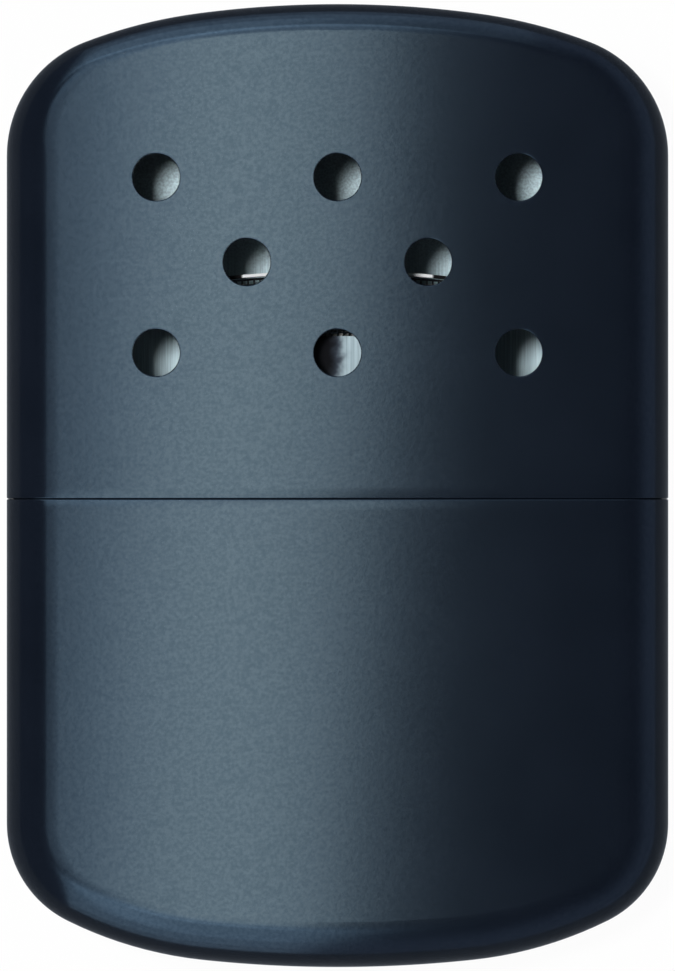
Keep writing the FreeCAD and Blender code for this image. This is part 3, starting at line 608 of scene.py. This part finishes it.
def make_mat(fibre):
    """Glass-fibre mat: an oval pad with soft edges, closed above and below on its centre line.

    It swells unevenly, but not where it closes and not along its underside.
    """
    low, high, reach, edge = 11.5, 20.95, 2.85, 0.95
    profile = [(0.0, low + 0.15), (1.6, low + 0.1)]
    profile += round_run(reach - edge, low + edge, edge, 270, 360)
    profile += [(reach, height) for height in np.linspace(low + edge, high - edge, 12)[1:-1]]
    profile += round_run(reach - edge, high - edge, edge, 0, 90)
    profile += [(1.0, high - 0.05), (0.0, high - 0.1)]
    core, outward = oval_path(half_turn(20), 40)
    grid = oval_sweep(profile, core, outward)
    swell = lumps(grid, 1.6, 0.12) - 0.1
    swell[[0, -1]] = 0
    grid = grid + swell[..., None] * outward * (grid[..., 1:2] > low + 0.1)
    return grid_piece("mat", grid, [fibre])


def make_felt(fibre):
    """Felt pad: the collar's section with soft edges, closed above and below over its middle."""
    section, normal = level_section()
    low, high, edge, room = 1.25, 3.75, 0.7, 1.5
    corners = round_run(edge, low + edge, edge, 270, 180)
    corners += round_run(edge, high - edge, edge, 180, 90)
    rows = [section - (room + inset) * normal + [0, height, 0] for inset, height in corners]
    middle = toward_oval(section, 0.0)
    shares = (0.0, 0.2, 0.4, 0.6, 0.8)
    foot, head = middle + [0, low, 0], middle + [0, high, 0]
    below = [foot + share * (rows[0] - foot) for share in shares]
    above = [head + share * (rows[-1] - head) for share in shares[::-1]]
    grid = np.array(below + rows + above) + [0, 0, HALF_DEPTH]
    grid[..., 1] += lumps(grid, 3.0, 0.1) * np.where(grid[..., 1] > 2.5, 1, -1) * 0.8
    return grid_piece("felt", grid, [fibre])


def make_cotton(fibre):
    """Cotton wadding: the lower case's own form drawn in from its wall, lumpy, closed over its top.

    The top droops towards its brim.
    """
    room, height, droop = 2.7, 0.9, 0.5
    skin, normal = case_skin(TANK)
    body = to_frame(skin - room * normal, TANK)
    puff = lumps(body, 4.0, 0.35) - 0.1
    body = body + puff[..., None] * normal * [1, TANK.up, 1]
    brim = body[0] * [1, 0, 1]
    middle = toward_oval(level_section()[0], 0.0) + [0, 0, HALF_DEPTH]
    top = [middle + share * (brim - middle) + [0, height - droop * share ** 6, 0]
           for share in np.linspace(0, 1, 8)]
    neckline = brim + [0, -0.6, 0]
    grid = np.concatenate([np.array(top), neckline[None], body[1:]])
    return grid_piece("cotton", grid, [fibre])


# ---------------------------------------------------------------- node helpers

def node(tree, kind, inputs, **settings):
    """A shader node; an input is a value, or the output socket that feeds it."""
    made = tree.nodes.new(kind)
    for name, value in settings.items():
        setattr(made, name, value)
    for name, value in inputs.items():
        if isinstance(value, bpy.types.NodeSocket):
            tree.links.new(value, made.inputs[name])
        else:
            made.inputs[name].default_value = value
    return made


def new_group(name, inputs, outputs):
    """A shader node group with number inputs and its own input and output nodes."""
    tree = bpy.data.node_groups.new(name, "ShaderNodeTree")
    for label, value in inputs.items():
        socket = tree.interface.new_socket(label, in_out="INPUT", socket_type="NodeSocketFloat")
        socket.default_value = value
    for label in outputs:
        tree.interface.new_socket(label, in_out="OUTPUT", socket_type="NodeSocketFloat")
    source = tree.nodes.new("NodeGroupInput")
    target = tree.nodes.new("NodeGroupOutput")
    return tree, source.outputs, target.inputs


def group_node(tree, group, inputs):
    """The outputs of a group used in a tree, with its number inputs set."""
    made = tree.nodes.new("ShaderNodeGroup")
    made.node_tree = group
    for name, value in inputs.items():
        made.inputs[name].default_value = value
    return made.outputs


def maths(tree, operation, first, second):
    """Two values joined by an operation."""
    return node(tree, "ShaderNodeMath", {0: first, 1: second}, operation=operation).outputs[0]


def mix_colour(tree, share, first, second):
    """One colour turning into another by a share from 0 to 1; a colour is three numbers or a socket."""
    ends = [end if isinstance(end, bpy.types.NodeSocket) else (*end, 1) for end in (first, second)]
    mixed = node(tree, "ShaderNodeMix", {0: share, 6: ends[0], 7: ends[1]}, data_type="RGBA")
    return mixed.outputs[2]


def spread(tree, value, low, high):
    """A value from 0 to 1 mapped to the range from low to high."""
    mapped = node(tree, "ShaderNodeMapRange", {"Value": value, "To Min": low, "To Max": high})
    return mapped.outputs["Result"]


def ramp(tree, value, start, end):
    """0 up to the start, 1 from the end on and a soft change between; the end may be the smaller one."""
    inputs = {"Value": value, "From Min": start, "From Max": end}
    return node(tree, "ShaderNodeMapRange", inputs, interpolation_type="SMOOTHSTEP").outputs["Result"]


def axes_of(tree, place):
    """A place taken apart into its X, Y and Z."""
    return node(tree, "ShaderNodeSeparateXYZ", {"Vector": place}).outputs


def noise(tree, place, scale, detail=3.0, rough=0.5):
    """Cloudy noise from 0 to 1; a larger scale gives finer clouds."""
    inputs = {"Vector": place, "Scale": scale, "Detail": detail, "Roughness": rough}
    return node(tree, "ShaderNodeTexNoise", inputs).outputs["Fac"]


def object_place(tree):
    """The place on the object, in metres."""
    return node(tree, "ShaderNodeTexCoord", {}).outputs["Object"]


def multiplied(tree, place, factors):
    """A place multiplied axis by axis; a small factor draws a pattern out along its axis."""
    inputs = {0: place, 1: factors}
    return node(tree, "ShaderNodeVectorMath", inputs, operation="MULTIPLY").outputs[0]


def new_material(name, metallic, **fixed):
    """A material with its Principled shader's plain values set."""
    material = bpy.data.materials.new(name)
    material.use_nodes = True
    tree = material.node_tree
    shader = tree.nodes["Principled BSDF"]
    shader.inputs["Metallic"].default_value = metallic
    for label, value in fixed.items():
        shader.inputs[label.replace("_", " ")].default_value = value
    return material, tree, shader


def finish_with(tree, shader, colour, roughness, height, strength, distance):
    """Feeds the shader: its colour, its roughness, and a bump from the height."""
    bump = node(tree, "ShaderNodeBump", {"Height": height, "Strength": strength, "Distance": distance})
    tree.links.new(colour, shader.inputs["Base Color"])
    tree.links.new(roughness, shader.inputs["Roughness"])
    tree.links.new(bump.outputs["Normal"], shader.inputs["Normal"])


# ---------------------------------------------------------------- finishes
# Places on a piece and the depths of bumps are in metres here, as the shaders have them.

def drawing_marks():
    """Marks that drawing or brushing leaves along +Y: long faint streaks with a finer grain between."""
    inputs = {"Streaks": 2500.0, "Length": 0.03, "Grain": 5000.0}
    tree, given, put = new_group("Drawing marks", inputs, ["Marks", "Grain"])
    place = object_place(tree)
    factors = node(tree, "ShaderNodeCombineXYZ", {0: 1.0, 1: given["Length"], 2: 1.0}).outputs[0]
    long_way = multiplied(tree, place, factors)
    tree.links.new(noise(tree, long_way, given["Streaks"]), put["Marks"])
    tree.links.new(noise(tree, place, given["Grain"], 2.0), put["Grain"])
    return tree


def loose_fibres():
    """Crossing fibres: two stretched, twisted noises laid over each other, with lint between them."""
    tree, given, put = new_group("Loose fibres", {"Fineness": 2500.0, "Lint": 600.0}, ["Fibres", "Lint"])
    place = object_place(tree)
    bend = node(tree, "ShaderNodeTexNoise", {"Vector": place, "Scale": given["Lint"], "Detail": 2.0})
    inputs = {0: bend.outputs["Color"], 1: (0.002, 0.002, 0.002), 2: place}
    bent = node(tree, "ShaderNodeVectorMath", inputs, operation="MULTIPLY_ADD").outputs[0]
    layers = []
    for factors in ((1.0, 0.12, 1.0), (0.12, 1.0, 0.5)):
        layers.append(noise(tree, multiplied(tree, bent, factors), given["Fineness"]))
    tree.links.new(maths(tree, "MAXIMUM", *layers), put["Fibres"])
    tree.links.new(bend.outputs["Fac"], put["Lint"])
    return tree


def black_coat():
    """Fine black powder coat: a slight orange peel, a finer grain, a cloudy tone and patches of a thin clear
    coat.
    """
    fixed = {"Specular_Tint": COAT_GLEAM, "Coat_Roughness": 0.15}
    material, tree, shader = new_material("black_coat", 0.0, **fixed)
    place = object_place(tree)
    peel = noise(tree, place, 1700.0, 2.0)
    grain = noise(tree, place, 4200.0, 3.0, 0.6)
    cloud = noise(tree, place, 90.0)
    mottle = noise(tree, place, 2600.0, 2.0, 0.6)
    tone = maths(tree, "MULTIPLY", grain, cloud)
    colour = mix_colour(tree, spread(tree, tone, 0.0, 1.6), *COAT)
    uneven = maths(tree, "ADD", maths(tree, "MULTIPLY", peel, 0.6), maths(tree, "MULTIPLY", cloud, 0.4))
    roughness = spread(tree, uneven, 0.14, 0.19)
    height = maths(tree, "ADD", peel, maths(tree, "MULTIPLY", grain, 0.35))
    tree.links.new(spread(tree, ramp(tree, mottle, 0.3, 0.7), 0.0, 0.25), shader.inputs["Coat Weight"])
    finish_with(tree, shader, colour, roughness, height, 0.4, 0.000006)
    return material


def inside_steel(marks):
    """Uncoated inside of the case: dull grey steel at the back, with painted shade darkening it towards the
    front.

    Upright drawing marks near the mouth fade to a fine grain near the crown.
    """
    material, tree, shader = new_material("inside_steel", 0.0, Specular_IOR_Level=0.1)
    place = object_place(tree)
    drawn = group_node(tree, marks, {"Streaks": 5200.0, "Length": 0.025, "Grain": 4200.0})
    axes = axes_of(tree, place)
    crown = ramp(tree, axes["Y"], 0.020, 0.027)
    # Painted shade: the inside turns near black from 2 to 5 mm off the back towards the front.
    painted_shade = ramp(tree, axes["Z"], 0.002, 0.005)
    pattern = node(tree, "ShaderNodeMix", {0: crown, 2: drawn["Marks"], 3: drawn["Grain"]}).outputs[0]
    bare = mix_colour(tree, ramp(tree, pattern, 0.3, 0.7), *BARE_INSIDE)
    colour = mix_colour(tree, painted_shade, bare, INSIDE_PAINTED_SHADE)
    finish_with(tree, shader, colour, spread(tree, pattern, 0.45, 0.6), pattern, 0.3, 0.00002)
    return material


def plated_steel(marks):
    """Bright plated sheet of the collar and neck, with faint drawing marks."""
    material, tree, shader = new_material("plated_steel", 1.0)
    drawn = group_node(tree, marks, {"Streaks": 2200.0, "Length": 0.02, "Grain": 3000.0})
    colour = mix_colour(tree, drawn["Marks"], *PLATING)
    roughness = spread(tree, drawn["Marks"], 0.24, 0.36)
    finish_with(tree, shader, colour, roughness, drawn["Marks"], 0.1, 0.00001)
    return material


def burner_steel(marks):
    """Brushed stainless sheet: bright on the end posts and dulled grey by heat between them.

    A painted shadow lies left of its middle: near black with an uneven blue edge, strongest high up near the
    gauze.
    """
    material, tree, shader = new_material("burner_steel", 0.9, Specular_IOR_Level=0.02)
    place = object_place(tree)
    axes = axes_of(tree, place)
    brushed = group_node(tree, marks, {"Streaks": 4500.0, "Length": 0.02, "Grain": 3500.0})
    # Painted shadow: a mask left of the middle with a wavering edge, strongest high up.
    waver = spread(tree, noise(tree, place, 420.0, 3.0, 0.6), -0.0010, 0.0010)
    across = maths(tree, "ADD", axes["X"], waver)
    shadow_right_edge = ramp(tree, across, 0.0017, -0.0014)
    shadow_left_edge = ramp(tree, across, -0.0105, -0.0050)
    shadow_by_height = spread(tree, ramp(tree, axes["Y"], 0.0075, 0.0135), 0.2, 1.0)
    painted_vent_shadow = maths(tree, "MULTIPLY", maths(tree, "MULTIPLY", shadow_right_edge, shadow_left_edge), shadow_by_height)
    dull = ramp(tree, maths(tree, "ABSOLUTE", axes["X"], 0.0), 0.0128, 0.0112)
    streaks = ramp(tree, brushed["Marks"], 0.3, 0.7)
    bright = mix_colour(tree, streaks, *BRIGHT_POST)
    grey = mix_colour(tree, streaks, *HEATED_GREY)
    # The painted shadow turns the heated grey blue-black at its edge and near black inside.
    grey_with_shadow_edge = mix_colour(tree, ramp(tree, painted_vent_shadow, 0.0, 0.6), grey, SHADOW_EDGE_BLUE)
    heat_grey_with_painted_shadow = mix_colour(tree, ramp(tree, painted_vent_shadow, 0.2, 0.9), grey_with_shadow_edge, PAINTED_SHADOW_BLACK)
    colour = mix_colour(tree, dull, bright, heat_grey_with_painted_shadow)
    roughness = spread(tree, brushed["Marks"], 0.32, 0.5)
    tree.links.new(spread(tree, dull, 0.9, 0.0), shader.inputs["Metallic"])
    finish_with(tree, shader, colour, roughness, brushed["Marks"], 0.3, 0.00002)
    return material


def bridge_steel(marks):
    """The bridge's polished sheet with its matt cut edge; its two tongues carry painted shade, near black."""
    material, tree, shader = new_material("bridge_steel", 0.9, Specular_IOR_Level=0.1)
    axes = axes_of(tree, object_place(tree))
    polished = group_node(tree, marks, {"Streaks": 3000.0, "Length": 1.0, "Grain": 3000.0})
    bright = mix_colour(tree, polished["Grain"], *POLISHED)
    # Painted shade: past 10 mm from the middle the tongues are painted near black.
    scale = ramp(tree, maths(tree, "ABSOLUTE", axes["X"], 0.0), 0.00975, 0.01005)
    edge = ramp(tree, axes["Z"], 0.00835, 0.00840)
    colour = mix_colour(tree, scale, bright, TONGUE_PAINTED_SHADE)
    roughness = spread(tree, polished["Marks"], 0.2, 0.3)
    matt = maths(tree, "MAXIMUM", scale, edge)
    tree.links.new(spread(tree, matt, 0.9, 0.0), shader.inputs["Metallic"])
    finish_with(tree, shader, colour, roughness, polished["Grain"], 0.1, 0.00001)
    return material


def burnt_wire():
    """Gauze wire darkened by heat, from brown-black to blue-grey."""
    material, tree, shader = new_material("burnt_wire", 1.0)
    place = object_place(tree)
    scale = noise(tree, place, 260.0, 4.0)
    colour = mix_colour(tree, scale, *WIRE)
    roughness = spread(tree, scale, 0.42, 0.62)
    finish_with(tree, shader, colour, roughness, noise(tree, place, 6000.0, 2.0), 0.3, 0.00001)
    return material


def fibre_cloth(name, fibres, shades, fineness, lint, depth, sheen):
    """Fibre finish: strands catch the light and the gaps between them are darker."""
    material, tree, shader = new_material(name, 0.0, Sheen_Weight=sheen)
    strands = group_node(tree, fibres, {"Fineness": fineness, "Lint": lint})
    colour = mix_colour(tree, ramp(tree, strands["Fibres"], 0.4, 0.75), *shades)
    roughness = spread(tree, strands["Lint"], 0.8, 0.98)
    finish_with(tree, shader, colour, roughness, strands["Fibres"], 0.8, depth)
    return material


def mix_shader(tree, share, first, second):
    """One shader turning into another by a share from 0 to 1."""
    return node(tree, "ShaderNodeMixShader", {0: share, 1: first, 2: second}).outputs[0]


def white_floor():
    """Matt white table top, white to the camera with a faint shadow, and a dim blue-grey in reflections."""
    material, tree, shader = new_material("white_table", 0.0, Roughness=0.9)
    cloud = noise(tree, object_place(tree), 6.0, 2.0)
    tree.links.new(mix_colour(tree, cloud, *TABLE), shader.inputs["Base Color"])
    path = node(tree, "ShaderNodeLightPath", {}).outputs
    glow = node(tree, "ShaderNodeEmission", {"Color": WHITE}).outputs[0]
    dim = node(tree, "ShaderNodeEmission", {"Color": TABLE_REFLECTED}).outputs[0]
    share = maths(tree, "MULTIPLY", path["Is Camera Ray"], 0.97)
    direct = mix_shader(tree, share, shader.outputs[0], glow)
    surface = mix_shader(tree, path["Is Glossy Ray"], direct, dim)
    tree.links.new(surface, tree.nodes["Material Output"].inputs["Surface"])
    return material


# ---------------------------------------------------------------- room

def make_floor():
    """Round table top under the object, a grid of rings."""
    radius = np.concatenate([[0], np.geomspace(40, 2500, 12)])[:, None]
    around = np.linspace(0, 2 * math.pi, 65)[:-1]
    level = np.zeros((len(radius), len(around)))
    grid = np.stack([radius * np.cos(around), radius * np.sin(around), level], axis=-1)
    floor = grid_piece("table_top", grid, [white_floor()])


def soft_lamp(name, across, along, width, length, radiance, distance=LAMP_DISTANCE, turn=0.0):
    """Rectangular lamp aimed at the object; its place and its size are in degrees, from straight above.

    Its width lies along X, turned by an angle.  Power is the radiance wanted times pi times its area.
    """
    data = bpy.data.lights.new(name, "AREA")
    data.shape = "RECTANGLE"
    data.size = 2 * distance * MM * math.tan(math.radians(width / 2))
    data.size_y = 2 * distance * MM * math.tan(math.radians(length / 2))
    data.energy = radiance * math.pi * data.size * data.size_y
    lamp = bpy.data.objects.new(name, data)
    way = Vector((math.tan(math.radians(across)), math.tan(math.radians(along)), 1)).normalized()
    lamp.location = way * distance * MM
    facing = lamp.location.normalized()
    right = Vector((math.cos(math.radians(turn)), math.sin(math.radians(turn)), 0))
    right = (right - right.dot(facing) * facing).normalized()
    lamp.rotation_euler = Matrix((right, facing.cross(right), facing)).transposed().to_euler()
    lamp.visible_camera = False
    bpy.context.scene.collection.objects.link(lamp)
    return lamp


def light_room():
    """Softboxes for the sheen, a key light for the shadows, and a pale room round them.

    Each softbox hangs a little further off than the one before, so that no two lie in one plane.
    """
    for index, (*aim_and_radiance, colour) in enumerate(SOFTBOXES):
        distance = LAMP_DISTANCE + SOFTBOX_STEP * index
        softbox = soft_lamp(f"softbox_{index}", *aim_and_radiance, distance, SOFTBOX_TURN)
        softbox.data.color = colour
        softbox.visible_diffuse = False
    key = soft_lamp("key_panel", *KEY_PANEL)
    key.visible_glossy = False
    bpy.context.scene.world = pale_room()


def pale_room():
    """White to the camera, pale as a source of light; in reflections dim above and paler near the horizon."""
    world = bpy.data.worlds.new("pale_room")
    world.use_nodes = True
    tree = world.node_tree
    axes = axes_of(tree, node(tree, "ShaderNodeTexCoord", {}).outputs["Generated"])
    low = ramp(tree, axes["Z"], 0.95, 0.35)
    right = spread(tree, ramp(tree, axes["X"], -0.9, 0.3), 0.15, 1.0)
    strength = spread(tree, maths(tree, "MULTIPLY", low, right), 0.08, 0.42)
    plain = tree.nodes["Background"]
    plain.inputs["Color"].default_value = ROOM_LIGHT
    plain.inputs["Strength"].default_value = 0.09
    reflected = {"Color": ROOM_REFLECTED, "Strength": strength}
    dim = node(tree, "ShaderNodeBackground", reflected).outputs[0]
    white = node(tree, "ShaderNodeBackground", {"Color": WHITE, "Strength": 1.0}).outputs[0]
    path = node(tree, "ShaderNodeLightPath", {}).outputs
    unseen = mix_shader(tree, path["Is Glossy Ray"], plain.outputs[0], dim)
    surface = mix_shader(tree, path["Is Camera Ray"], unseen, white)
    tree.links.new(surface, tree.nodes["World Output"].inputs["Surface"])
    return world


def place_camera():
    """Straight above the case, its long side upright in the frame."""
    distance, view_width, along = 1500.0, 70.24, 0.04
    data = bpy.data.cameras.new("camera")
    data.sensor_fit = "HORIZONTAL"
    data.lens = data.sensor_width * distance / view_width
    data.clip_start, data.clip_end = 0.01, 20.0
    camera = bpy.data.objects.new("camera", data)
    camera.location = Vector((0.0, along, HALF_DEPTH + distance)) * MM
    bpy.context.scene.collection.objects.link(camera)
    bpy.context.scene.camera = camera


# ---------------------------------------------------------------- assembly

def dress_warmer(nodes):
    """Every visible piece over its solids; the burner's floor keeps its solid and takes a finish."""
    marks = drawing_marks()
    coat = black_coat()
    inside = inside_steel(marks)
    plated = plated_steel(marks)
    burner = burner_steel(marks)
    wire = burnt_wire()
    lid = make_case_half(LID, "lid", coat, inside)
    pierce_vents(lid)
    dress(lid, "lid", "coated_steel", "lid_shell")
    tank = make_case_half(TANK, "lower_case", coat, inside)
    dress(tank, "tank", "coated_steel", "tank_shell")
    dress(make_collar(plated, coat), "tank", "bare_metal", "tank_collar")
    dress(make_filler_neck(plated), "tank", "bare_metal", "filler_neck")
    dress(make_burner_sleeve(burner), "burner", "burner_metal", "burner_base")
    dress(make_bridge(bridge_steel(marks)), "burner", "burner_metal", "top_bridge")
    dress(make_gauze("gauze_cloth_front", 1, wire), "burner", "gauze", "gauze_front")
    dress(make_gauze("gauze_cloth_back", -1, wire), "burner", "gauze", "gauze_back")
    fibres = loose_fibres()
    glass = fibre_cloth("glass_fibre", fibres, GLASS, 5000.0, 900.0, 0.0001, 0.1)
    felt = fibre_cloth("wool_felt", fibres, FELT, 4000.0, 500.0, 0.0001, 0.3)
    cotton = fibre_cloth("cotton", fibres, COTTON, 2500.0, 300.0, 0.0002, 0.4)
    soft = [
        (make_mat(glass), "burner", "glass_fibre", "catalyst_mat", 0.5),
        (make_felt(felt), "tank", "felt", "felt_pad", 0.6),
        (make_cotton(cotton), "tank", "cotton", "cotton_wadding", 0.7),
    ]
    for piece, body, slot, replaced, fill in soft:
        dress(piece, body, slot, replaced)
    for slot in nodes["burner_floor"].material_slots:
        slot.material = burner


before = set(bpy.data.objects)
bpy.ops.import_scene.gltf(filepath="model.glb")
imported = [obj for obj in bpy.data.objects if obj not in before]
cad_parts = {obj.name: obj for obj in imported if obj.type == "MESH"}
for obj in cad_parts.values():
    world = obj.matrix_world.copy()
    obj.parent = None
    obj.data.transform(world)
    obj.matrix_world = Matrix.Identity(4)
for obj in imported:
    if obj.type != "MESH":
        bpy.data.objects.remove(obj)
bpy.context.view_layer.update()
bpy.context.scene.view_settings.view_transform = "Standard"
place_camera()
light_room()
make_floor()
dress_warmer(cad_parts)
bpy.context.view_layer.update()
